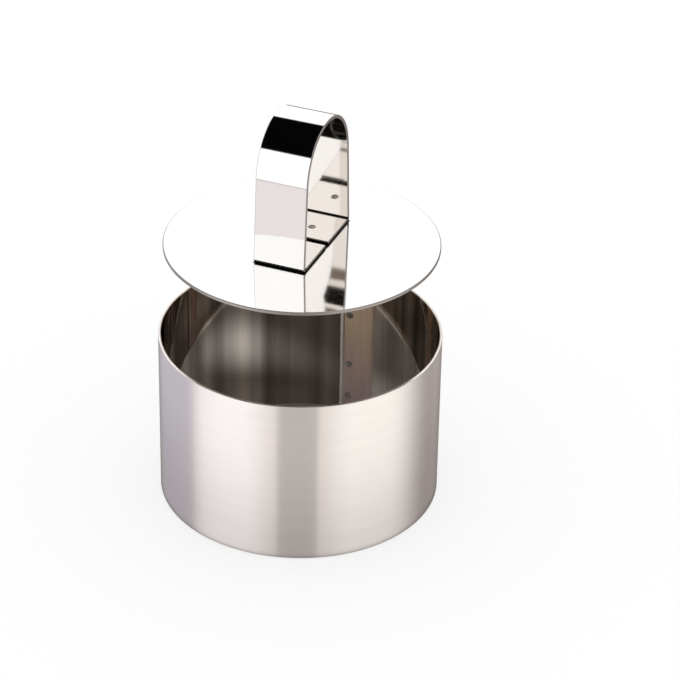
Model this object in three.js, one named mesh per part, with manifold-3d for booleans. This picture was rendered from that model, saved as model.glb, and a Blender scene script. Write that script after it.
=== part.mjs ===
// Plunger pastry cutter: an open ring rolled from steel strip, and a loose press disc with a strap handle
// that is lifted out of it. Millimetres, +Z up. The origin is on the ring's axis, in the plane of its base.
import * as THREE from 'three';
import { mergeVertices } from 'three/addons/utils/BufferGeometryUtils.js';
import Module from 'manifold-3d';

const wasm = await Module();
wasm.setup();

// Ring: one turn of strip, wound as a slow spiral so that its outer end laps over its inner end
const ringHeight = 50;
const boreRadius = 38.85; // inner face at the strip's inner end, the tightest place in the ring
const stripThickness = 0.8;
const lapLength = 10.5; // how far the outer end runs on past the inner end
const lapGap = 0.1; // between the two layers of the lap
const seamAngle = THREE.MathUtils.degToRad(95.2); // where the inner end stands, turned from +X

// Spot welds through the lap, in one upright row
const seamWeldRadius = 1.2;
const seamWeldInset = 3; // from the inner end of the strip to the row
const seamWeldEdgeInset = 5.5; // from the ring's edges to the first and the last weld
const seamWeldMidSpacing = 17; // between the two welds nearest mid-height

// Press disc, which slides through the ring
const discClearance = 0.3; // all round, at the tightest place in the ring
const discThickness = 1;
const discEdgeBreak = 0.2;

// Handle: one strap bent into an arch, its two feet turned inwards to lie flat on the disc
const strapWidth = 15;
const strapThickness = 1;
const handleSpan = 32.9; // over the outsides of the legs, at the feet
const handleHeight = 39.2; // top of the crown above the disc
const crownRadius = 15; // outside of the round crown
const footBendRadius = 0.3; // inside of the bend between leg and foot
const footGap = 2; // between the free ends of the two feet

// Spot welds that hold the feet to the disc, one in each foot
const footWeldRadius = 1.1;
const footWeldInset = 6; // from the free end of the foot

// Every weld nugget is a dished plug in a hole through the sheet that faces outwards
const weldClearance = 0.15;
const weldDishDepth = 0.12;
const weldDishRadius = 0.7; // flat floor of the dish

// At rest the plunger is held above the ring, on the ring's axis
const restLift = 28; // underside of the disc above the ring's upper edge

// Facets of the round shapes
const ringFacets = 120;
const discFacets = 96;
const bendFacets = 20;
const weldFacets = 24;

// Colours and finishes of the two grades of polish
const satinSteel = { color: 0xb9b4b1, roughness: 0.3, metalness: 1 };
const mirrorSteel = { color: 0xdcdcde, roughness: 0.08, metalness: 1 };
const weldSteel = { color: 0x8d8780, roughness: 0.45, metalness: 1 };

const fullTurn = 2 * Math.PI;

function toSolid(geometry) {
  geometry.deleteAttribute('normal');
  geometry.deleteAttribute('uv');
  const merged = mergeVertices(geometry);
  return new wasm.Manifold(new wasm.Mesh({
    numProp: 3,
    vertProperties: merged.attributes.position.array,
    triVerts: new Uint32Array(merged.index.array),
  }));
}

function toGeometry(solid) {
  const mesh = solid.getMesh();
  const geometry = new THREE.BufferGeometry();
  geometry.setAttribute('position', new THREE.BufferAttribute(mesh.vertProperties, 3));
  geometry.setIndex(new THREE.BufferAttribute(mesh.triVerts, 1));
  return geometry;
}

function namedMesh(name, geometry, finish) {
  const mesh = new THREE.Mesh(geometry, new THREE.MeshStandardMaterial({ ...finish, flatShading: true }));
  mesh.name = name;
  return mesh;
}

// Radius of the strip's inner face after it has been wound through an angle from its inner end
function stripRadius(wound) {
  return boreRadius + (stripThickness + lapGap) * wound / fullTurn;
}

// Wound angle that a length along the strip takes up, near its inner end
function woundAngle(length) {
  return length / (boreRadius + stripThickness / 2);
}

function polar(radius, angle) {
  return new THREE.Vector2(radius * Math.cos(angle), radius * Math.sin(angle));
}

// The strip seen from above: out along its outer face, and back along its inner face
function stripShape() {
  const wholeTurn = fullTurn + woundAngle(lapLength);
  const steps = Math.ceil(wholeTurn / fullTurn * ringFacets);
  const outer = [];
  const inner = [];
  for (let step = 0; step <= steps; step += 1) {
    const wound = wholeTurn * step / steps;
    outer.push(polar(stripRadius(wound) + stripThickness, seamAngle - wound));
    inner.push(polar(stripRadius(wound), seamAngle - wound));
  }
  return new THREE.Shape([...outer, ...inner.reverse()]);
}

function seamWeldHeights() {
  return {
    seam_weld_top: ringHeight - seamWeldEdgeInset,
    seam_weld_upper: ringHeight / 2 + seamWeldMidSpacing / 2,
    seam_weld_lower: ringHeight / 2 - seamWeldMidSpacing / 2,
    seam_weld_bottom: seamWeldEdgeInset,
  };
}

// A dished plug that stands on the origin along +Y, as thick as the sheet that it fills
function weldNugget(radius, sheetThickness) {
  const dishFloor = sheetThickness - weldDishDepth;
  const profile = [
    new THREE.Vector2(0, 0),
    new THREE.Vector2(radius, 0),
    new THREE.Vector2(radius, sheetThickness),
    new THREE.Vector2(weldDishRadius, dishFloor),
    new THREE.Vector2(0, dishFloor),
  ];
  return new THREE.LatheGeometry(profile, weldFacets);
}

// A cylinder along Y that clears a nugget, centred on the origin
function weldHole(radius, length) {
  const holeRadius = radius + weldClearance;
  return new THREE.CylinderGeometry(holeRadius, holeRadius, length, weldFacets);
}

function makeRing() {
  const ring = new THREE.Group();
  const weldWound = woundAngle(seamWeldInset);
  const weldAngle = seamAngle - weldWound;
  const weldSeat = stripRadius(weldWound) + stripThickness;
  let band = toSolid(new THREE.ExtrudeGeometry(stripShape(), { depth: ringHeight, bevelEnabled: false }));

  // The seam group is turned so that its +X runs outwards through the row of welds
  const seam = new THREE.Group();
  seam.rotation.z = weldAngle;
  for (const [name, height] of Object.entries(seamWeldHeights())) {
    // The hole ends half-way across the lap's gap, so that the outer layer stays whole
    const hole = weldHole(seamWeldRadius, 2 * stripThickness + lapGap);
    hole.rotateZ(Math.PI / 2);
    hole.translate(weldSeat - stripThickness, 0, height);
    hole.rotateZ(weldAngle);
    band = band.subtract(toSolid(hole));

    const nugget = namedMesh(name, weldNugget(seamWeldRadius, stripThickness), weldSteel);
    nugget.rotation.z = Math.PI / 2;
    nugget.position.set(weldSeat, 0, height);
    seam.add(nugget);
  }
  ring.add(namedMesh('ring_band', toGeometry(band), satinSteel), seam);
  return ring;
}

function makeDisc() {
  const radius = boreRadius - discClearance;
  const profile = [
    new THREE.Vector2(0, 0),
    new THREE.Vector2(radius - discEdgeBreak, 0),
    new THREE.Vector2(radius, discEdgeBreak),
    new THREE.Vector2(radius, discThickness - discEdgeBreak),
    new THREE.Vector2(radius - discEdgeBreak, discThickness),
    new THREE.Vector2(0, discThickness),
  ];
  const geometry = new THREE.LatheGeometry(profile, discFacets);
  geometry.rotateX(Math.PI / 2);
  return namedMesh('press_disc', geometry, mirrorSteel);
}

// The strap seen from its edge, with the disc's upper face at height 0. Each leg is the straight tangent
// from the bend at its foot to the round crown, so it leans inwards where the crown is narrower.
function strapShape() {
  const bendOutside = footBendRadius + strapThickness;
  const bendCentre = handleSpan / 2 - bendOutside;
  const crownCentre = handleHeight - crownRadius;
  const footEnd = footGap / 2;
  const rise = crownCentre - bendOutside;
  const run = Math.hypot(bendCentre, rise);
  const upwards = Math.atan2(rise, -bendCentre);
  const right = upwards - Math.acos((bendOutside - crownRadius) / run);
  const left = Math.PI - right;
  const down = Math.PI / 2;

  const shape = new THREE.Shape();
  shape.moveTo(footEnd, 0);
  shape.absarc(bendCentre, bendOutside, bendOutside, -down, right, false);
  shape.absarc(0, crownCentre, crownRadius, right, left, false);
  shape.absarc(-bendCentre, bendOutside, bendOutside, left, Math.PI + down, false);
  shape.lineTo(-footEnd, 0);
  shape.lineTo(-footEnd, strapThickness);
  shape.absarc(-bendCentre, bendOutside, footBendRadius, Math.PI + down, left, true);
  shape.absarc(0, crownCentre, crownRadius - strapThickness, left, right, true);
  shape.absarc(bendCentre, bendOutside, footBendRadius, right, -down, true);
  shape.lineTo(footEnd, strapThickness);
  return shape;
}

// The handle's parts, standing on the plane of the disc's upper face: legs at +Y and -Y, strap width along X
function makeHandle() {
  const handle = new THREE.Group();
  const settings = { depth: strapWidth, bevelEnabled: false, curveSegments: bendFacets };
  const strapGeometry = new THREE.ExtrudeGeometry(strapShape(), settings);
  strapGeometry.translate(0, 0, -strapWidth / 2);
  const edgeToSide = new THREE.Matrix4().makeBasis(
    new THREE.Vector3(0, 1, 0),
    new THREE.Vector3(0, 0, 1),
    new THREE.Vector3(1, 0, 0),
  );
  strapGeometry.applyMatrix4(edgeToSide);
  let strap = toSolid(strapGeometry);

  const weldPlace = footGap / 2 + footWeldInset;
  for (const [name, place] of [['foot_weld_front', -weldPlace], ['foot_weld_rear', weldPlace]]) {
    // The hole runs out of the foot on both sides by the strap's own thickness
    const hole = weldHole(footWeldRadius, 3 * strapThickness);
    hole.rotateX(Math.PI / 2);
    hole.translate(0, place, strapThickness / 2);
    strap = strap.subtract(toSolid(hole));

    const nugget = namedMesh(name, weldNugget(footWeldRadius, strapThickness), weldSteel);
    nugget.rotation.x = Math.PI / 2;
    nugget.position.y = place;
    handle.add(nugget);
  }
  handle.add(namedMesh('handle_strap', toGeometry(strap), mirrorSteel));
  return handle;
}

function makePlunger() {
  const plunger = new THREE.Group();
  const handle = makeHandle();
  handle.position.z = discThickness;
  plunger.add(makeDisc(), handle);
  plunger.position.z = ringHeight + restLift;
  return plunger;
}

const cutter = new THREE.Group();
cutter.add(makeRing(), makePlunger());

export default cutter;
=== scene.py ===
"""Plunger pastry cutter: a rolled satin ring, and the bright press disc with its strap handle above it."""

import bpy
import numpy as np
from mathutils import Matrix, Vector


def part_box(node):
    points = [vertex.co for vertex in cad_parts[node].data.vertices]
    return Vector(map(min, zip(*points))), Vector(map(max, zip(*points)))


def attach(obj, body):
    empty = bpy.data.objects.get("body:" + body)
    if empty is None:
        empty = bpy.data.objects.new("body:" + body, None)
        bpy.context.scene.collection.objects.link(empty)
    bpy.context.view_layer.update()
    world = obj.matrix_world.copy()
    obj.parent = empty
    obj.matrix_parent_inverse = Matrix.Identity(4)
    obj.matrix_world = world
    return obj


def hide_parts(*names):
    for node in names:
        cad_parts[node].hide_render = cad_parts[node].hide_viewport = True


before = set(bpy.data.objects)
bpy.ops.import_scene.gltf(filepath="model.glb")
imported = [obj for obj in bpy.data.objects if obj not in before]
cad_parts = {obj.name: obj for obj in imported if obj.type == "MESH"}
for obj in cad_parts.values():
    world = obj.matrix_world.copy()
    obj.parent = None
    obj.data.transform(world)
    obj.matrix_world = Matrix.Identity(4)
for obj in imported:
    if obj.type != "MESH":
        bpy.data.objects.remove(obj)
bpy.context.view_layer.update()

MM = 0.001
FULL_TURN = 2 * np.pi
UP = np.array([0, 0, 1])

# Sheet sizes that the frame's boxes don't give
BORE_RADIUS = 38.85 * MM
STRIP_THICKNESS = 0.8 * MM
LAP_LENGTH = 10.5 * MM
LAP_GAP = 0.1 * MM
SEAM_ANGLE = np.radians(95.2)
STRAP_THICKNESS = 1 * MM
CROWN_RADIUS = 15 * MM
FOOT_BEND_RADIUS = 0.3 * MM
FOOT_GAP = 2 * MM

# Deburred edges
STRIP_EDGE = 0.22 * MM
STRAP_EDGE = 0.2 * MM
DISC_EDGE = 0.3 * MM

# Spot weld craters: a flat floor with one circle of points on it, a raised lip that starts at a share of
# the radius, and a root inside the sheet
CRATER_RADIUS = 1.1 * MM
CRATER_FLOOR = 0.012 * MM
CRATER_FLOOR_CIRCLE = 0.33 * MM
CRATER_LIP = 0.07 * MM
CRATER_LIP_START = 0.55
CRATER_ROOT = 0.3 * MM

# Points on each stretch of the shapes
STRIP_POINTS = 420
CROWN_POINTS = 90
BEND_POINTS = 40
STRAIGHT_POINTS = 14
DISC_POINTS = 360
RIM_POINTS = 7
WELD_POINTS = 40
LIP_POINTS = 9
CARD_POINTS = 240

# Sizes of the metals' patterns in millimetres, along the sheet and across it where there are two
SATIN_CLOUDS = (30, 2.5)
SATIN_GRAIN = (40, 0.2)
ROLL_MARKS = 8
HEAT_STREAKS = (1.2, 20)
BUFFING_LINES = (16, 0.5)
WELD_MOTTLE = 0.7

# The middle of a noise texture's values, and the values between which nearly all of them lie
NOISE_LOW, NOISE_MIDDLE, NOISE_HIGH = 0.3, 0.5, 0.7

# The ring's finish: roughness, how far the grain stretches a reflection, and the depth of the relief
SATIN_ROUGHNESS = 0.22
BORE_ROUGHNESS = 0.05
HEATED_ROUGHNESS = 0.45
BURR_ROUGHNESS = 0.8
GRAIN_STRETCH = 0.9
GRAIN_DEPTH = 0.0014 * MM
ROLL_MARK_DEPTH = 0.02 * MM

# Places along the ring's strip, from its inner end: the burr, the heated lap and the last stretch, darker
# with painted shade
BURR_OVER, BURR_FULL = 1.0 * MM, 0.8 * MM
HEAT_STARTS, HEAT_FULL = 1.2 * MM, 1.7 * MM
HEAT_OVER, HEAT_EBBS = LAP_LENGTH + 1.4 * MM, LAP_LENGTH - 0.6 * MM
PAINTED_SHADE_STARTS, PAINTED_SHADE_FULL = 224.8 * MM, 227.2 * MM

# Heights on the heated lap, from the middle of the strip, between which straw turns to mauve
STRAW_ABOVE, MAUVE_BELOW = 6 * MM, -22 * MM

# The plunger's finish: roughness of the buffed outside, the strap's inside, the cut edges and the painted
# shade in the creases
BUFFED_LEAST, BUFFED_MOST = 0.03, 0.06
INSIDE_ROUGHNESS = 0.07
SHEARED_ROUGHNESS = 0.3
CREASE_SHADE_ROUGHNESS = 0.5

# Painted shade in the creases: height above the disc, distance from the inside corner of a bend, and
# distance from the feet on the disc
CREASE_SHADE_LINE_OVER, CREASE_SHADE_LINE_FULL = 0.62 * MM, 0.5 * MM
CREASE_SHADE_CORNER_OVER, CREASE_SHADE_CORNER_FULL = 0.6 * MM, 0.35 * MM
CREASE_SHADE_ROUND_OVER, CREASE_SHADE_ROUND_FULL = 0.5 * MM, 0.1 * MM

# Spot welds: roughness of the brown and of the grey metal, and the noise values where each is full
WELD_BROWN_ROUGHNESS, WELD_GREY_ROUGHNESS = 0.46, 0.3
WELD_BROWN, WELD_GREY = 0.35, 0.65

# The photograph's view: a long lens, turned about the ring's axis and rolled a little
PHOTO_AZIMUTH = np.radians(21.6)
PHOTO_PITCH = np.radians(31.52)
PHOTO_ROLL = np.radians(1.04)
PHOTO_LENS_MM = 154.85
SENSOR_MM = 36
CAMERA_RIGHT = 10.99 * MM
CAMERA_BACK = 703.93 * MM
CAMERA_ABOVE_RIM = 428.88 * MM
RIGHT = np.array([np.cos(PHOTO_AZIMUTH), np.sin(PHOTO_AZIMUTH), 0])
AWAY = np.array([-np.sin(PHOTO_AZIMUTH), np.cos(PHOTO_AZIMUTH), 0])

# Strength of the tent that the metal sees and of the plain white that all else sees, and the share of the
# floor's white that is a glow
TENT_LEVEL = 1.2
PLAIN_LEVEL = 1.1
FLOOR_GLOW = 0.6

# The tent round the object, as the metal sees it: patches of colour on a white tent, later ones on top.
# Each has its range of turns (degrees from the camera's side, positive to the right) and how softly it
# ends there, its range of rises (degrees above the horizon) and how softly it ends there, and its colour.
ALL_ROUND = (-200, 200)
TENT_PATCHES = (
    # the table
    (ALL_ROUND, 1, (-100, -20), 1, "f4f0ed"),
    ((-94, -21), 9, (-100, -20), 1, "fefbfe"),
    ((-98, -21), 3, (-29, -20), 1, "e0d8d9"),
    ((-98, -21), 3, (-21, -19.5), 0.6, "b5adad"),
    # the far side below the back wall, and the gaps at both ends of the back wall
    ((150, 210), 6, (-100, -8), 5, "7c726a"),
    ((-210, -150), 6, (-100, -8), 5, "7c726a"),
    ((-157, -94), 9, (-100, 14), 2, "b3b0bb"),
    ((103, 160), 24, (-100, 30), 4, "9d9695"),
    # the greyer side walls
    ((-140, -70), 10, (14, 60), 4, "d6d4d3"),
    ((-130, -68), 8, (-19, 14), 2, "dcdad9"),
    ((38, 115), 10, (-4, 60), 4, "d6d4d3"),
    # the softer shade on both sides of the opening that the camera looks through, and the opening
    ((-30, 30), 18, (-100, 30), 6, "dad4d2"),
    ((-16.7, 15.8), 1, (-100, 30), 6, "b6b1af"),
    # the dark ceiling, which starts higher over the back wall
    ((-145, 145), 4, (41, 100), 1.5, "050404"),
    (ALL_ROUND, 1, (49, 100), 1.5, "050404"),
)

# Pale panels in the ceiling, on both sides of a dark strip that runs along Y over the left of the object.
# Each is given by the range of its directions' X, which is never past 1, and both have the same rises.
PANELS = ((-0.18, 2), (-2, -0.45))
PANEL_SOFT = 0.03
PANEL_RISES = (54, 100)
PANEL_RISE_SOFT = 2
PANEL_COLOUR = "d2d0cf"

# The floor and the cards on it, which lie a little below the ring's lower edge. A whole card has a pinhole
# on the ring's axis.
FLOOR_RADIUS = 3.0
FLOOR_DROP = 0.1 * MM
CARD_DROP = 0.05 * MM
PINHOLE = 0.01 * MM

# The table inside the ring: a band before the far wall, a brighter spot, the line of light along the wall
# and how far back it fades, and the radius where the shade that the camera sees starts
BORE_BAND = (19 * MM, 26 * MM)
BORE_BAND_SOFT = 9 * MM
BORE_SPOT = (13.8 * RIGHT + 13 * AWAY) * MM
BORE_SPOT_RADIUS = 22 * MM
BORE_LINE = (38.2 * MM, 38.8 * MM)
BORE_LINE_SOFT = 0.1 * MM
BORE_LINE_OVER, BORE_LINE_FADES = 35 * MM, 24 * MM
BORE_SHADE_START = 18 * MM

# The table's shade round the ring: the radius where it starts, and for the wide shade and the darker line
# of contact, how deep each is there and the radius that it reaches
SHADE_START = 40 * MM
SHADE_DEPTH = 0.36
SHADE_REACH = 100 * MM
CONTACT_DEPTH = 0.8
CONTACT_REACH = 43 * MM

# Sockets of a Mix node, which has its own for each type of data
FACTOR = 0
FLOAT_A, FLOAT_B = 2, 3
COLOUR_A, COLOUR_B, COLOUR_MIX = 6, 7, 2

RING_LOW, RING_HIGH = (np.array(corner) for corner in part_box("ring_band"))
DISC_LOW, DISC_HIGH = (np.array(corner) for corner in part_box("press_disc"))
STRAP_LOW, STRAP_HIGH = (np.array(corner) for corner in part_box("handle_strap"))


def linear(hex_colour):
    """The linear RGBA of an sRGB hex colour such as "d8d4d0"."""
    srgb = np.array([int(hex_colour[i:i + 2], 16) for i in (0, 2, 4)]) / 255
    rgb = np.where(srgb <= 0.04045, srgb / 12.92, ((srgb + 0.055) / 1.055) ** 2.4)
    return (*rgb.tolist(), 1.0)


def add(tree, kind, links=None, **settings):
    """Adds a node: settings are its own properties, links its inputs, as sockets to join or values."""
    made = tree.nodes.new(kind)
    for name, value in settings.items():
        setattr(made, name, value)
    for name, value in (links or {}).items():
        socket = made.inputs[name]
        if isinstance(value, bpy.types.NodeSocket):
            tree.links.new(value, socket)
        else:
            socket.default_value = value
    return made


def per_mm(size):
    """Texture scale, on coordinates in metres, whose features are size millimetres across."""
    return 1 / (size * MM)


# Shapes


def unit(vector):
    return vector / np.linalg.norm(vector)


def piece(name, vertices, faces, sheet=None, **shares):
    """A smooth mesh object at the origin. sheet gives every vertex its place on the flat sheet, in metres,
    as a UV map, and each of shares is a number from 0 to 1 for every vertex, as an attribute."""
    mesh = bpy.data.meshes.new(name)
    mesh.from_pydata(vertices.tolist(), [], faces)
    mesh.polygons.foreach_set("use_smooth", np.ones(len(mesh.polygons), bool))
    if sheet is not None:
        corner = np.empty(len(mesh.loops), np.int32)
        mesh.loops.foreach_get("vertex_index", corner)
        mesh.uv_layers.new(name="sheet").data.foreach_set("uv", sheet[corner].ravel())
    for share, values in shares.items():
        mesh.attributes.new(share, "FLOAT", "POINT").data.foreach_set("value", values.astype(np.float32))
    mesh.update()
    made = bpy.data.objects.new(name, mesh)
    bpy.context.scene.collection.objects.link(made)
    return made


def ring_faces(rows, columns):
    """Quads between neighbouring rows of a grid whose columns run round and close."""
    index = np.arange(rows * columns).reshape(rows, columns)
    right = np.roll(index, -1, axis=1)
    return np.stack([index[:-1], right[:-1], right[1:], index[1:]], axis=-1).reshape(-1, 4)


def strip(name, path, outward, side, thickness, width, edge):
    """A flat strip: a rectangle with round corners, thickness along outward and width along side, carried
    along path. Each corner is the rectangle's core grown by the edge radius, and at both ends the growth
    falls as the cosine while the section moves on by the sine, so the ends are rounded like the sides."""
    turn = np.radians([25, 50, 75])
    head, tail = unit(path[0] - path[1]), unit(path[-1] - path[-2])
    before = path[0] + np.outer(np.sin(turn[::-1]) * edge, head)
    after = path[-1] + np.outer(np.sin(turn) * edge, tail)
    stations = np.concatenate([before, path, after])
    head_normals, tail_normals = (np.tile(outward[end], (len(turn), 1)) for end in (0, -1))
    normals = np.concatenate([head_normals, outward, tail_normals])
    growth = np.concatenate([np.cos(turn[::-1]), np.ones(len(path)), np.cos(turn)]) * edge

    # The section, once round: across and up place each point on the core, and angle is the way it grows
    core = np.array([thickness, width]) / 2 - edge
    along = np.array([-1, -0.997, -0.97, -0.8, -0.4, 0, 0.4, 0.8, 0.97, 0.997, 1])
    arc = np.radians([18, 36, 54, 72])
    quarter = np.radians(90)
    face, bend = np.zeros(len(along)), np.ones(len(arc))
    across = np.concatenate([face + 1, bend, [1, -1], -bend, face - 1, -bend, [-1, 1], bend])
    up = np.concatenate([along, bend, [1, 1], bend, -along, -bend, [-1, -1], -bend])
    angle = np.concatenate([face, arc, [quarter, quarter], arc + quarter, face + 2 * quarter,
                            arc + 2 * quarter, [3 * quarter, 3 * quarter], arc + 3 * quarter])

    deep = across * core[0] + np.outer(growth, np.cos(angle))
    wide = up * core[1] + np.outer(growth, np.sin(angle))
    grid = stations[:, None] + deep[..., None] * normals[:, None] + wide[..., None] * side
    rows, columns = deep.shape
    length = np.concatenate([[0], np.cumsum(np.linalg.norm(np.diff(stations, axis=0), axis=1))])
    sheet = np.stack([np.repeat(length, columns), wide.ravel()], axis=-1)
    on_face = np.isclose(np.sin(angle), 0)
    cut = ~on_face | (growth[:, None] < edge)
    inner = np.tile(across < 0, rows)
    faces = ring_faces(rows, columns).tolist()
    head_face = list(range(columns))
    faces += [head_face[::-1], [i + (rows - 1) * columns for i in head_face]]
    return piece(name, grid.reshape(-1, 3), faces, sheet, cut_edge=cut.ravel(), inner_face=inner)


def revolved(radii, heights, steps):
    """Vertices and faces of a profile turned about +Z. It starts and ends on the axis, so the first and the
    last point are single poles, and the rows between them are circles of radius radii at heights."""
    angle = np.linspace(0, FULL_TURN, steps, endpoint=False)
    circle = np.stack([np.cos(angle), np.sin(angle)], axis=-1)
    rows = radii[1:-1, None, None] * circle
    level = np.broadcast_to(heights[1:-1, None, None], (*rows.shape[:2], 1))
    body = np.concatenate([rows, level], axis=-1).reshape(-1, 3)
    poles = np.array([[0, 0, heights[0]], [0, 0, heights[-1]]])
    around = np.arange(steps)
    following = np.roll(around, -1)
    last = len(body) - steps
    start = np.stack([np.full(steps, len(body)), following, around], axis=-1)
    end = np.stack([np.full(steps, len(body) + 1), last + around, last + following], axis=-1)
    faces = ring_faces(len(radii) - 2, steps).tolist() + start.tolist() + end.tolist()
    return np.concatenate([body, poles]), faces


def strip_radius(wound):
    """Radius of the ring strip's inner face, after it has been wound through an angle from its inner end:
    it grows by one thickness and one lap gap in a full turn."""
    return BORE_RADIUS + (STRIP_THICKNESS + LAP_GAP) * wound / FULL_TURN


def rolled_ring():
    """The ring's strip, wound as a spiral from its inner end at the seam, clockwise as seen from above: its
    middle lies half a thickness outside the radius of its inner face."""
    end = FULL_TURN + LAP_LENGTH / (BORE_RADIUS + STRIP_THICKNESS / 2)
    inset = STRIP_EDGE / BORE_RADIUS
    wound = np.linspace(inset, end - inset, STRIP_POINTS)
    angle = SEAM_ANGLE - wound
    radius = strip_radius(wound) + STRIP_THICKNESS / 2
    outward = np.stack([np.cos(angle), np.sin(angle), np.zeros_like(angle)], axis=-1)
    middle = (RING_LOW[2] + RING_HIGH[2]) / 2
    path = outward * radius[:, None] + middle * UP
    height = RING_HIGH[2] - RING_LOW[2]
    return strip("rolled_ring", path, outward, UP, STRIP_THICKNESS, height, STRIP_EDGE)


def handle():
    """The handle's strap: from the crown's top each half follows the crown's arc, a straight leg and the
    bend's arc, all at the angle that the strap's outer face has turned to, and ends flat along the foot."""
    half = STRAP_THICKNESS / 2
    base = STRAP_LOW[2]
    bend_outside = FOOT_BEND_RADIUS + STRAP_THICKNESS
    bend_y = STRAP_HIGH[1] - bend_outside
    crown_z = STRAP_HIGH[2] - CROWN_RADIUS
    rise = crown_z - base - bend_outside
    tangent = np.arccos((bend_outside - CROWN_RADIUS) / np.hypot(bend_y, rise))
    lean = np.arctan2(rise, -bend_y) - tangent

    crown = np.linspace(np.pi / 2, lean, CROWN_POINTS)
    bend = np.linspace(lean, -np.pi / 2, BEND_POINTS)
    crown_path = np.stack([np.cos(crown), np.sin(crown)], axis=-1) * (CROWN_RADIUS - half) + [0, crown_z]
    bend_path = (np.stack([np.cos(bend), np.sin(bend)], axis=-1) * (FOOT_BEND_RADIUS + half)
                 + [bend_y, base + bend_outside])
    share = np.linspace(0, 1, STRAIGHT_POINTS)[1:-1, None]
    leg_path = crown_path[-1] * (1 - share) + bend_path[0] * share
    foot_end = np.array([FOOT_GAP / 2 + STRAP_EDGE, base + half])
    foot_path = bend_path[-1] * (1 - share) + foot_end * share
    rear = np.concatenate([crown_path, leg_path, bend_path, foot_path, foot_end[None]])
    leg_turned, foot_turned = np.full(len(share), lean), np.full(len(share) + 1, -np.pi / 2)
    turned = np.concatenate([crown, leg_turned, bend, foot_turned])
    outward = np.stack([np.cos(turned), np.sin(turned)], axis=-1)

    mirror = np.array([-1, 1])
    plane = np.concatenate([(rear * mirror)[:0:-1], rear])
    normal = np.concatenate([(outward * mirror)[:0:-1], outward])
    flat = np.zeros((len(plane), 1))
    width = STRAP_HIGH[0] - STRAP_LOW[0]
    return strip("strap_handle", np.hstack([flat, plane]), np.hstack([flat, normal]), np.array([1, 0, 0]),
                 STRAP_THICKNESS, width, STRAP_EDGE)


def disc():
    """The press disc: two flat faces joined by a rim whose two edges are quarter circles. The circles of
    points on the flat faces stand closer together towards the rim."""
    reach = DISC_HIGH[0] - DISC_EDGE
    quarter = np.radians(np.linspace(0, 90, RIM_POINTS))
    flat = reach * np.array([0, 0.25, 0.5, 0.75, 0.95, 0.99, 0.998])
    radii = np.concatenate([flat, reach + DISC_EDGE * np.sin(quarter)])
    under = np.concatenate([np.zeros(len(flat)), DISC_EDGE * (1 - np.cos(quarter))])
    thickness = DISC_HIGH[2] - DISC_LOW[2]
    heights = np.concatenate([under, thickness - under[::-1]])
    vertices, faces = revolved(np.concatenate([radii, radii[::-1]]), heights, DISC_POINTS)
    just_past_flat = reach + DISC_EDGE / 8
    cut = np.hypot(vertices[:, 0], vertices[:, 1]) > just_past_flat
    return piece("disc_plate", vertices + DISC_LOW[2] * UP, faces, vertices[:, :2], cut_edge=cut)


def weld_mark(name, spots):
    """The marks of one spot weld, as (centre, direction out of the sheet) pairs: each is a profile of a
    flat floor, a lip raised as a whole cosine wave and a root in the sheet, turned about its direction."""
    rise = np.linspace(0, 1, LIP_POINTS)
    wave = CRATER_LIP * (1 - np.cos(FULL_TURN * rise)) / 2
    lip = CRATER_RADIUS * (CRATER_LIP_START + (1 - CRATER_LIP_START) * rise)
    radii = np.concatenate([[0, CRATER_FLOOR_CIRCLE], lip, [CRATER_RADIUS, 0]])
    level = np.concatenate([[0, 0], wave, [0, 0]]) + CRATER_FLOOR
    level[-2:] = -CRATER_ROOT
    shell, shell_faces = revolved(radii[::-1], level[::-1], WELD_POINTS)
    off_every_weld = [0.3, 0.2, 0.9]  # no mark faces this way, so its cross product is never zero
    vertices, faces = [], []
    for centre, out in spots:
        first = unit(np.cross(out, off_every_weld))
        turn = np.stack([first, np.cross(out, first), out])
        faces += [[i + len(vertices) * len(shell) for i in face] for face in shell_faces]
        vertices.append(shell @ turn + centre)
    return piece(name, np.concatenate(vertices), faces)


def centre_of(node):
    low, high = (np.array(corner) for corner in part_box(node))
    return (low + high) / 2


def seam_weld_mark(node, name):
    """A weld of the lap, marked on the bore's face and on the outside of the lap's outer layer."""
    middle = centre_of(node)
    out = unit(middle * [1, 1, 0])
    wound = SEAM_ANGLE - np.arctan2(out[1], out[0])
    inner = strip_radius(wound)
    outer = strip_radius(wound + FULL_TURN) + STRIP_THICKNESS
    level = middle[2] * UP
    return weld_mark(name, [(out * inner + level, -out), (out * outer + level, out)])


def foot_weld_mark(node, name):
    """A weld of one foot, marked on top of the foot and on the underside of the disc."""
    middle = centre_of(node)
    top = np.array([*middle[:2], STRAP_LOW[2] + STRAP_THICKNESS])
    under = np.array([*middle[:2], DISC_LOW[2]])
    return weld_mark(name, [(top, UP), (under, -UP)])


# Finishes


def empty_material(name):
    """A material and its node tree, with no nodes yet."""
    material = bpy.data.materials.new(name)
    material.use_nodes = True
    material.node_tree.nodes.clear()
    return material, material.node_tree


def bare_metal(tree, links):
    """Ends a metal's nodes with its shader."""
    shader = add(tree, "ShaderNodeBsdfPrincipled", {"Metallic": 1.0, **links})
    add(tree, "ShaderNodeOutputMaterial", {"Surface": shader.outputs["BSDF"]})


def streaks(tree, sheet, along, across, detail=3.0):
    """Noise on the flat sheet, with features of about along by across millimetres."""
    stretched = add(tree, "ShaderNodeVectorMath", {0: sheet, 1: (per_mm(along), per_mm(across), 0)},
                    operation="MULTIPLY")
    noise = add(tree, "ShaderNodeTexNoise", {
        "Vector": stretched.outputs[0], "Scale": 1.0, "Detail": detail})
    return noise.outputs[0]


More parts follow.
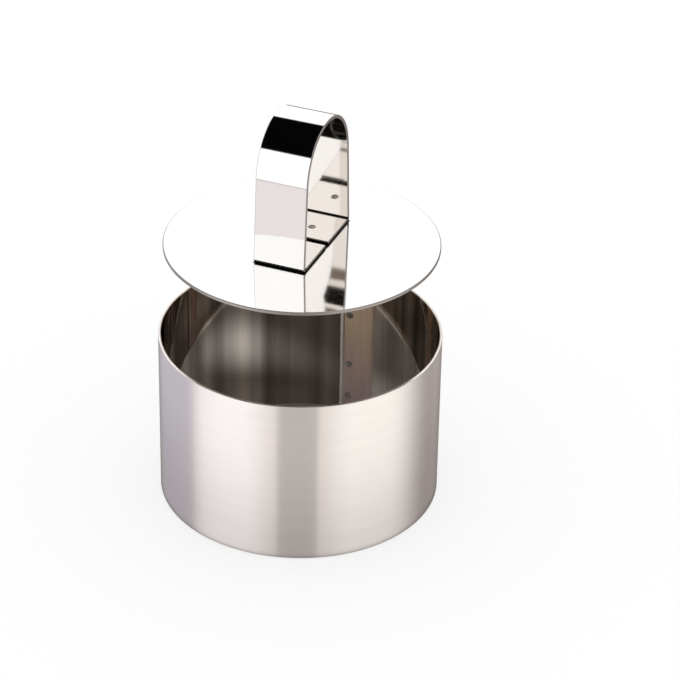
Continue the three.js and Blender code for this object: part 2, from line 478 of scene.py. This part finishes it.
def satin_stainless():
    """Stainless strip with a fine satin polish that runs along the strip: the grain spreads each reflection
    up and down the wall, so the ring shows upright bands. The bore keeps the mill's bright finish, with
    upright roll marks; its colour is darker than the outside as painted shade inside the ring, and its last
    stretch is darker still with painted shade. At the lap the welding's heat has left it dull, straw
    coloured above and mauve below, and a pale burr runs along the strip's inner end."""
    material, tree = empty_material("satin_stainless")
    inner = add(tree, "ShaderNodeAttribute", attribute_name="inner_face").outputs["Fac"]
    sheet = add(tree, "ShaderNodeUVMap", uv_map="sheet").outputs["UV"]
    place = add(tree, "ShaderNodeSeparateXYZ", {"Vector": sheet})
    along = place.outputs["X"]

    # The places along the strip, as shares
    burr = add(tree, "ShaderNodeMapRange", {"Value": along, "From Min": BURR_OVER, "From Max": BURR_FULL})
    start = add(tree, "ShaderNodeMapRange", {
        "Value": along, "From Min": HEAT_STARTS, "From Max": HEAT_FULL})
    end = add(tree, "ShaderNodeMapRange", {"Value": along, "From Min": HEAT_OVER, "From Max": HEAT_EBBS})
    lap = add(tree, "ShaderNodeMath", {0: start.outputs[0], 1: end.outputs[0]}, operation="MULTIPLY")
    heated = add(tree, "ShaderNodeMath", {0: inner, 1: lap.outputs[0]}, operation="MULTIPLY").outputs[0]
    # where the painted shade of the bore's last stretch comes in
    last = add(tree, "ShaderNodeMapRange", {
        "Value": along, "From Min": PAINTED_SHADE_STARTS, "From Max": PAINTED_SHADE_FULL})

    # Roughness
    bright = add(tree, "ShaderNodeMix", {FACTOR: inner, FLOAT_A: SATIN_ROUGHNESS, FLOAT_B: BORE_ROUGHNESS})
    dulled = add(tree, "ShaderNodeMix", {
        FACTOR: heated, FLOAT_A: bright.outputs[0], FLOAT_B: HEATED_ROUGHNESS})
    rough = add(tree, "ShaderNodeMix", {
        FACTOR: burr.outputs[0], FLOAT_A: dulled.outputs[0], FLOAT_B: BURR_ROUGHNESS})

    # Colour of the satin outside and of the bore; the bore's roll-mark tones sit darker than the satin as
    # painted shade inside the ring
    cloud = add(tree, "ShaderNodeMapRange", {
        "Value": streaks(tree, sheet, *SATIN_CLOUDS), "From Min": NOISE_LOW, "From Max": NOISE_HIGH})
    satin = add(tree, "ShaderNodeMix", {
        FACTOR: cloud.outputs[0], COLOUR_A: linear("f2eeea"), COLOUR_B: linear("f5f1ed")}, data_type="RGBA")
    rolls = add(tree, "ShaderNodeTexNoise", {"W": along, "Scale": per_mm(ROLL_MARKS), "Detail": 3.0},
                noise_dimensions="1D").outputs[0]
    mark = add(tree, "ShaderNodeMapRange", {"Value": rolls, "From Min": NOISE_LOW, "From Max": NOISE_HIGH})
    # painted shade: both roll-mark tones are darker than the satin outside, for the shade inside the ring
    marked = add(tree, "ShaderNodeMix", {
        FACTOR: mark.outputs[0], COLOUR_A: linear("8f857d"), COLOUR_B: linear("cdc0b3")}, data_type="RGBA")
    # painted shade: the last stretch before the seam is multiplied darker
    bore = add(tree, "ShaderNodeMix", {
        FACTOR: last.outputs[0], COLOUR_A: marked.outputs[COLOUR_MIX], COLOUR_B: linear("bcbab8")},
        data_type="RGBA", blend_type="MULTIPLY")
    plain = add(tree, "ShaderNodeMix", {
        FACTOR: inner, COLOUR_A: satin.outputs[COLOUR_MIX], COLOUR_B: bore.outputs[COLOUR_MIX]},
        data_type="RGBA")

    # Colour of the heated lap and of the burr
    lower = add(tree, "ShaderNodeMapRange", {
        "Value": place.outputs["Y"], "From Min": STRAW_ABOVE, "From Max": MAUVE_BELOW})
    heat = add(tree, "ShaderNodeMath", {0: streaks(tree, sheet, *HEAT_STREAKS), 1: lower.outputs[0]},
               operation="ADD")
    heat = add(tree, "ShaderNodeMapRange", {
        "Value": heat.outputs[0], "From Min": NOISE_LOW, "From Max": 1 + NOISE_MIDDLE})
    hue = add(tree, "ShaderNodeMix", {
        FACTOR: heat.outputs[0], COLOUR_A: linear("f6dab6"), COLOUR_B: linear("d0b8b8")}, data_type="RGBA")
    tinted = add(tree, "ShaderNodeMix", {
        FACTOR: heated, COLOUR_A: plain.outputs[COLOUR_MIX], COLOUR_B: hue.outputs[COLOUR_MIX]},
        data_type="RGBA")
    colour = add(tree, "ShaderNodeMix", {
        FACTOR: burr.outputs[0], COLOUR_A: tinted.outputs[COLOUR_MIX], COLOUR_B: linear("f6f2ee")},
        data_type="RGBA")

    # Relief of the grain and of the roll marks
    grain = add(tree, "ShaderNodeBump", {
        "Strength": 1.0, "Distance": GRAIN_DEPTH, "Height": streaks(tree, sheet, *SATIN_GRAIN, detail=2.0)})
    relief = add(tree, "ShaderNodeBump", {
        "Strength": 1.0, "Distance": ROLL_MARK_DEPTH, "Height": rolls, "Normal": grain.outputs[0]})

    # A reflection is stretched across the grain, a quarter turn from the way round the ring
    around = add(tree, "ShaderNodeTangent", direction_type="RADIAL", axis="Z")
    bare_metal(tree, {
        "Base Color": colour.outputs[COLOUR_MIX], "Roughness": rough.outputs[0],
        "Normal": relief.outputs[0], "Tangent": around.outputs[0],
        "Anisotropic": GRAIN_STRETCH, "Anisotropic Rotation": 0.25})
    return material


def mirror_stainless():
    """Stainless sheet buffed to a mirror on its outer faces: sharp reflections with fine lines of buffing
    haze. The inside of the bent strap and the sheared edges are duller, and painted shade, near black and
    dull, fills the creases."""
    material, tree = empty_material("mirror_stainless")
    inner = add(tree, "ShaderNodeAttribute", attribute_name="inner_face").outputs["Fac"]
    cut = add(tree, "ShaderNodeAttribute", attribute_name="cut_edge").outputs["Fac"]
    sheet = add(tree, "ShaderNodeUVMap", uv_map="sheet").outputs["UV"]
    place = add(tree, "ShaderNodeTexCoord").outputs["Object"]

    # Painted shade on the strap, in the inside corner of each bend
    halves = add(tree, "ShaderNodeVectorMath", {0: place}, operation="ABSOLUTE")
    section = add(tree, "ShaderNodeVectorMath", {0: halves.outputs[0], 1: (0, 1, 1)}, operation="MULTIPLY")
    corner = add(tree, "ShaderNodeVectorMath", {
        0: section.outputs[0], 1: (0, STRAP_HIGH[1] - STRAP_THICKNESS, STRAP_LOW[2] + STRAP_THICKNESS)},
        operation="DISTANCE")
    inside = add(tree, "ShaderNodeMapRange", {
        "Value": corner.outputs["Value"], "From Min": CREASE_SHADE_CORNER_OVER, "From Max": CREASE_SHADE_CORNER_FULL})

    # Painted shade along the line where the feet meet the disc, on both, and in the gap between the feet
    foot = np.array([STRAP_HIGH[0], STRAP_HIGH[1] - FOOT_BEND_RADIUS, 0])
    past = add(tree, "ShaderNodeVectorMath", {0: halves.outputs[0], 1: foot}, operation="SUBTRACT")
    past = add(tree, "ShaderNodeVectorMath", {0: past.outputs[0], 1: (0, 0, 0)}, operation="MAXIMUM")
    past = add(tree, "ShaderNodeVectorMath", {0: past.outputs[0], 1: (1, 1, 0)}, operation="MULTIPLY")
    gap = add(tree, "ShaderNodeVectorMath", {0: past.outputs[0]}, operation="LENGTH")
    near = add(tree, "ShaderNodeMapRange", {
        "Value": gap.outputs["Value"], "From Min": CREASE_SHADE_ROUND_OVER, "From Max": CREASE_SHADE_ROUND_FULL})
    height = add(tree, "ShaderNodeSeparateXYZ", {"Vector": place}).outputs["Z"]
    low = add(tree, "ShaderNodeMapRange", {
        "Value": height, "From Min": STRAP_LOW[2] + CREASE_SHADE_LINE_OVER,
        "From Max": STRAP_LOW[2] + CREASE_SHADE_LINE_FULL})
    on_top = add(tree, "ShaderNodeMath", {0: height, 1: DISC_HIGH[2] - DISC_EDGE}, operation="GREATER_THAN")
    footprint = add(tree, "ShaderNodeMath", {0: near.outputs[0], 1: low.outputs[0]}, operation="MULTIPLY")
    footprint = add(tree, "ShaderNodeMath", {0: footprint.outputs[0], 1: on_top.outputs[0]},
                    operation="MULTIPLY")
    crease = add(tree, "ShaderNodeMath", {0: footprint.outputs[0], 1: inside.outputs[0]},
                 operation="MAXIMUM").outputs[0]

    # Colour
    plain = add(tree, "ShaderNodeMix", {
        FACTOR: inner, COLOUR_A: linear("f4f3f2"), COLOUR_B: linear("eeeae6")}, data_type="RGBA")
    grey = add(tree, "ShaderNodeMix", {
        FACTOR: cut, COLOUR_A: plain.outputs[COLOUR_MIX], COLOUR_B: linear("a29d98")}, data_type="RGBA")
    # painted shade: the creases and the gap between the feet are mixed towards near black
    crease_shaded = add(tree, "ShaderNodeMix", {
        FACTOR: crease, COLOUR_A: grey.outputs[COLOUR_MIX], COLOUR_B: linear("1c1511")}, data_type="RGBA")

    # Roughness
    buffed = add(tree, "ShaderNodeMapRange", {
        "Value": streaks(tree, sheet, *BUFFING_LINES), "From Min": NOISE_LOW, "From Max": NOISE_HIGH,
        "To Min": BUFFED_LEAST, "To Max": BUFFED_MOST})
    haze = add(tree, "ShaderNodeMix", {
        FACTOR: inner, FLOAT_A: buffed.outputs[0], FLOAT_B: INSIDE_ROUGHNESS})
    sheared = add(tree, "ShaderNodeMix", {
        FACTOR: cut, FLOAT_A: haze.outputs[0], FLOAT_B: SHEARED_ROUGHNESS})
    rough = add(tree, "ShaderNodeMix", {
        FACTOR: crease, FLOAT_A: sheared.outputs[0], FLOAT_B: CREASE_SHADE_ROUGHNESS})
    bare_metal(tree, {"Base Color": crease_shaded.outputs[COLOUR_MIX], "Roughness": rough.outputs[0]})
    return material


def weld_steel():
    """Metal that was molten: dull, and mottled grey and brown from the heat."""
    material, tree = empty_material("spot_weld_steel")
    place = add(tree, "ShaderNodeTexCoord").outputs["Object"]
    mottle = add(tree, "ShaderNodeTexNoise", {
        "Vector": place, "Scale": per_mm(WELD_MOTTLE), "Detail": 2.0}).outputs[0]
    share = add(tree, "ShaderNodeMapRange", {
        "Value": mottle, "From Min": WELD_BROWN, "From Max": WELD_GREY})
    colour = add(tree, "ShaderNodeMix", {
        FACTOR: share.outputs[0], COLOUR_A: linear("8c8076"), COLOUR_B: linear("b0aba6")}, data_type="RGBA")
    rough = add(tree, "ShaderNodeMix", {
        FACTOR: share.outputs[0], FLOAT_A: WELD_BROWN_ROUGHNESS, FLOAT_B: WELD_GREY_ROUGHNESS})
    bare_metal(tree, {"Base Color": colour.outputs[COLOUR_MIX], "Roughness": rough.outputs[0]})
    return material


# Studio: a white tent with a dark ceiling, pale panels in it, and a greyer opening on the camera's side


def within(tree, value, low, high, soft):
    """A share that is 1 between low and high, and eases to 0 across soft on either side of both."""
    start = add(tree, "ShaderNodeMapRange", {
        "Value": value, "From Min": low - soft, "From Max": low + soft}, interpolation_type="SMOOTHSTEP")
    end = add(tree, "ShaderNodeMapRange", {
        "Value": value, "From Min": high + soft, "From Max": high - soft}, interpolation_type="SMOOTHSTEP")
    both = add(tree, "ShaderNodeMath", {0: start.outputs[0], 1: end.outputs[0]}, operation="MULTIPLY")
    return both.outputs[0]


def studio_world():
    """The camera and the floor see plain white. The metal sees the tent, worked out from the turn and the
    rise of each direction, and from its X for the ceiling's panels."""
    world = bpy.data.worlds.new("white_tent")
    bpy.context.scene.world = world
    world.use_nodes = True
    world.cycles.sampling_method = "NONE"
    tree = world.node_tree
    tree.nodes.clear()
    direction = add(tree, "ShaderNodeTexCoord").outputs["Generated"]
    parts = add(tree, "ShaderNodeSeparateXYZ", {"Vector": direction})
    right = add(tree, "ShaderNodeVectorMath", {0: direction, 1: RIGHT}, operation="DOT_PRODUCT")
    towards = add(tree, "ShaderNodeVectorMath", {0: direction, 1: -AWAY}, operation="DOT_PRODUCT")
    turn = add(tree, "ShaderNodeMath", {0: right.outputs["Value"], 1: towards.outputs["Value"]},
               operation="ARCTAN2")
    rise = add(tree, "ShaderNodeMath", {0: parts.outputs["Z"]}, operation="ARCSINE")
    turn = add(tree, "ShaderNodeMath", {0: turn.outputs[0]}, operation="DEGREES").outputs[0]
    rise = add(tree, "ShaderNodeMath", {0: rise.outputs[0]}, operation="DEGREES").outputs[0]

    patches = [(within(tree, turn, *turns, turn_soft), within(tree, rise, *rises, rise_soft), patch)
               for turns, turn_soft, rises, rise_soft, patch in TENT_PATCHES]
    above = within(tree, rise, *PANEL_RISES, PANEL_RISE_SOFT)
    patches += [(within(tree, parts.outputs["X"], *panel, PANEL_SOFT), above, PANEL_COLOUR)
                for panel in PANELS]
    colour = linear("ffffff")
    for across, upwards, patch in patches:
        share = add(tree, "ShaderNodeMath", {0: across, 1: upwards}, operation="MULTIPLY")
        mixed = add(tree, "ShaderNodeMix", {
            FACTOR: share.outputs[0], COLOUR_A: colour, COLOUR_B: linear(patch)}, data_type="RGBA")
        colour = mixed.outputs[COLOUR_MIX]

    light = add(tree, "ShaderNodeLightPath")
    tent = add(tree, "ShaderNodeBackground", {"Color": colour, "Strength": TENT_LEVEL})
    plain = add(tree, "ShaderNodeBackground", {"Color": linear("ffffff"), "Strength": PLAIN_LEVEL})
    seen = add(tree, "ShaderNodeMixShader", {
        0: light.outputs["Is Glossy Ray"], 1: plain.outputs[0], 2: tent.outputs[0]})
    add(tree, "ShaderNodeOutputWorld", {"Surface": seen.outputs[0]})


def flat_card(name, inside, outside, level):
    """A flat card on the floor between two lines round the ring's axis, a grid of two rows. None stands for
    the line under the middle of the wound strip, whose radius grows with the angle from the seam."""
    angle = np.linspace(0, FULL_TURN, CARD_POINTS, endpoint=False)
    circle = np.stack([np.cos(angle), np.sin(angle), np.zeros_like(angle)], axis=-1)
    strip_middle = strip_radius((SEAM_ANGLE - angle) % FULL_TURN) + STRIP_THICKNESS / 2
    edges = [strip_middle if radius is None else np.full_like(angle, radius)
             for radius in (outside, inside)]
    grid = np.concatenate([circle * radii[:, None] for radii in edges]) + level * UP
    return piece(name, grid, ring_faces(2, len(angle)).tolist())


def floor():
    """The white floor, which takes the object's shadow. The metal sees the tent's table in its place."""
    card = flat_card("floor", PINHOLE, FLOOR_RADIUS, RING_LOW[2] - FLOOR_DROP)
    paper, tree = empty_material("white_paper")
    white = add(tree, "ShaderNodeBsdfDiffuse", {"Color": linear("f8f8f8")})
    lit = add(tree, "ShaderNodeEmission", {"Color": linear("ffffff"), "Strength": 1.0})
    seen = add(tree, "ShaderNodeMixShader", {0: FLOOR_GLOW, 1: white.outputs[0], 2: lit.outputs[0]})
    add(tree, "ShaderNodeOutputMaterial", {"Surface": seen.outputs[0]})
    card.data.materials.append(paper)
    card.visible_glossy = False


def bore_floor():
    """The shaded table inside the ring: dim, darker in a soft band before the far wall, with one brighter
    spot and a thin line of light along the wall. The camera sees it shaded from the wall inwards."""
    card = flat_card("bore_floor", PINHOLE, None, RING_LOW[2] - CARD_DROP)
    shaded, tree = empty_material("shaded_table")
    place = add(tree, "ShaderNodeTexCoord").outputs["Object"]
    radius = add(tree, "ShaderNodeVectorMath", {0: place}, operation="LENGTH").outputs["Value"]
    far = add(tree, "ShaderNodeVectorMath", {0: place, 1: AWAY}, operation="DOT_PRODUCT").outputs["Value"]

    # What the metal sees
    band = within(tree, far, *BORE_BAND, BORE_BAND_SOFT)
    dim = add(tree, "ShaderNodeMix", {FACTOR: band, COLOUR_A: linear("747170"), COLOUR_B: linear("595653")},
              data_type="RGBA")
    from_spot = add(tree, "ShaderNodeVectorMath", {0: place, 1: BORE_SPOT}, operation="DISTANCE")
    spot = add(tree, "ShaderNodeMapRange", {
        "Value": from_spot.outputs["Value"], "From Min": BORE_SPOT_RADIUS, "From Max": 0.0},
        interpolation_type="SMOOTHSTEP")
    lit = add(tree, "ShaderNodeMix", {
        FACTOR: spot.outputs[0], COLOUR_A: dim.outputs[COLOUR_MIX], COLOUR_B: linear("d2d6da")},
        data_type="RGBA")
    line = within(tree, radius, *BORE_LINE, BORE_LINE_SOFT)
    near = add(tree, "ShaderNodeMapRange", {
        "Value": far, "From Min": BORE_LINE_OVER, "From Max": BORE_LINE_FADES})
    edge = add(tree, "ShaderNodeMath", {0: line, 1: near.outputs[0]}, operation="MULTIPLY")
    edged = add(tree, "ShaderNodeMix", {
        FACTOR: edge.outputs[0], COLOUR_A: lit.outputs[COLOUR_MIX], COLOUR_B: linear("f8f6f4")},
        data_type="RGBA")

    # What the camera sees
    hollow = add(tree, "ShaderNodeMapRange", {
        "Value": radius, "From Min": BORE_SHADE_START, "From Max": BORE_RADIUS})
    direct = add(tree, "ShaderNodeMix", {
        FACTOR: hollow.outputs[0], COLOUR_A: linear("a09d9a"), COLOUR_B: linear("4a4540")},
        data_type="RGBA")
    light = add(tree, "ShaderNodeLightPath")
    seen = add(tree, "ShaderNodeMix", {
        FACTOR: light.outputs["Is Camera Ray"], COLOUR_A: edged.outputs[COLOUR_MIX],
        COLOUR_B: direct.outputs[COLOUR_MIX]}, data_type="RGBA")
    glow = add(tree, "ShaderNodeEmission", {"Color": seen.outputs[COLOUR_MIX], "Strength": 1.0})
    add(tree, "ShaderNodeOutputMaterial", {"Surface": glow.outputs[0]})
    card.data.materials.append(shaded)
    card.visible_diffuse = False
    card.visible_shadow = False


def contact_shade():
    """The table's shade close round the ring, seen only in reflections, where it darkens the foot of the
    wall."""
    card = flat_card("contact_shade", None, SHADE_REACH, RING_LOW[2] - CARD_DROP)
    shade, tree = empty_material("table_shade")
    place = add(tree, "ShaderNodeTexCoord").outputs["Object"]
    radius = add(tree, "ShaderNodeVectorMath", {0: place}, operation="LENGTH").outputs["Value"]
    wide = add(tree, "ShaderNodeMapRange", {
        "Value": radius, "From Min": SHADE_START, "From Max": SHADE_REACH,
        "To Min": SHADE_DEPTH, "To Max": 0.0}, interpolation_type="SMOOTHSTEP")
    close = add(tree, "ShaderNodeMapRange", {
        "Value": radius, "From Min": SHADE_START, "From Max": CONTACT_REACH,
        "To Min": CONTACT_DEPTH, "To Max": 0.0})
    depth = add(tree, "ShaderNodeMath", {0: wide.outputs[0], 1: close.outputs[0]}, operation="MAXIMUM")
    clear = add(tree, "ShaderNodeBsdfTransparent")
    dark = add(tree, "ShaderNodeEmission", {"Color": linear("6a6260"), "Strength": 1.0})
    mixed = add(tree, "ShaderNodeMixShader", {0: depth.outputs[0], 1: clear.outputs[0], 2: dark.outputs[0]})
    add(tree, "ShaderNodeOutputMaterial", {"Surface": mixed.outputs[0]})
    card.data.materials.append(shade)
    card.visible_camera = False
    card.visible_diffuse = False
    card.visible_shadow = False


def photo_camera():
    """The photograph's camera, placed from the ring's axis and its upper edge."""
    level_up = AWAY * np.sin(PHOTO_PITCH) + UP * np.cos(PHOTO_PITCH)
    back = UP * np.sin(PHOTO_PITCH) - AWAY * np.cos(PHOTO_PITCH)
    camera_right = RIGHT * np.cos(PHOTO_ROLL) + level_up * np.sin(PHOTO_ROLL)
    camera_up = level_up * np.cos(PHOTO_ROLL) - RIGHT * np.sin(PHOTO_ROLL)
    place = RIGHT * CAMERA_RIGHT - AWAY * CAMERA_BACK + UP * (RING_HIGH[2] + CAMERA_ABOVE_RIM)
    data = bpy.data.cameras.new("photo_camera")
    data.lens, data.sensor_width = PHOTO_LENS_MM, SENSOR_MM
    camera = bpy.data.objects.new("photo_camera", data)
    matrix = np.eye(4)
    matrix[:3] = np.stack([camera_right, camera_up, back, place], axis=-1)
    camera.matrix_world = Matrix(matrix.tolist())
    bpy.context.scene.collection.objects.link(camera)
    bpy.context.scene.camera = camera


def dress(made, body, material, node):
    """Gives a piece its finish and its body, and hides the CAD node that it stands for."""
    made.data.materials.append(material)
    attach(made, body)
    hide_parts(node)


photo_camera()
studio_world()
floor()
bore_floor()
contact_shade()
satin, mirror, weld = satin_stainless(), mirror_stainless(), weld_steel()
dress(rolled_ring(), "ring", satin, "ring_band")
dress(disc(), "plunger", mirror, "press_disc")
dress(handle(), "plunger", mirror, "handle_strap")
for place in ("top", "upper", "lower", "bottom"):
    node = f"seam_weld_{place}"
    dress(seam_weld_mark(node, f"seam_spot_{place}"), "ring", weld, node)
for place in ("front", "rear"):
    node = f"foot_weld_{place}"
    dress(foot_weld_mark(node, f"foot_spot_{place}"), "plunger", weld, node)

bpy.context.scene.view_settings.view_transform = "Standard"
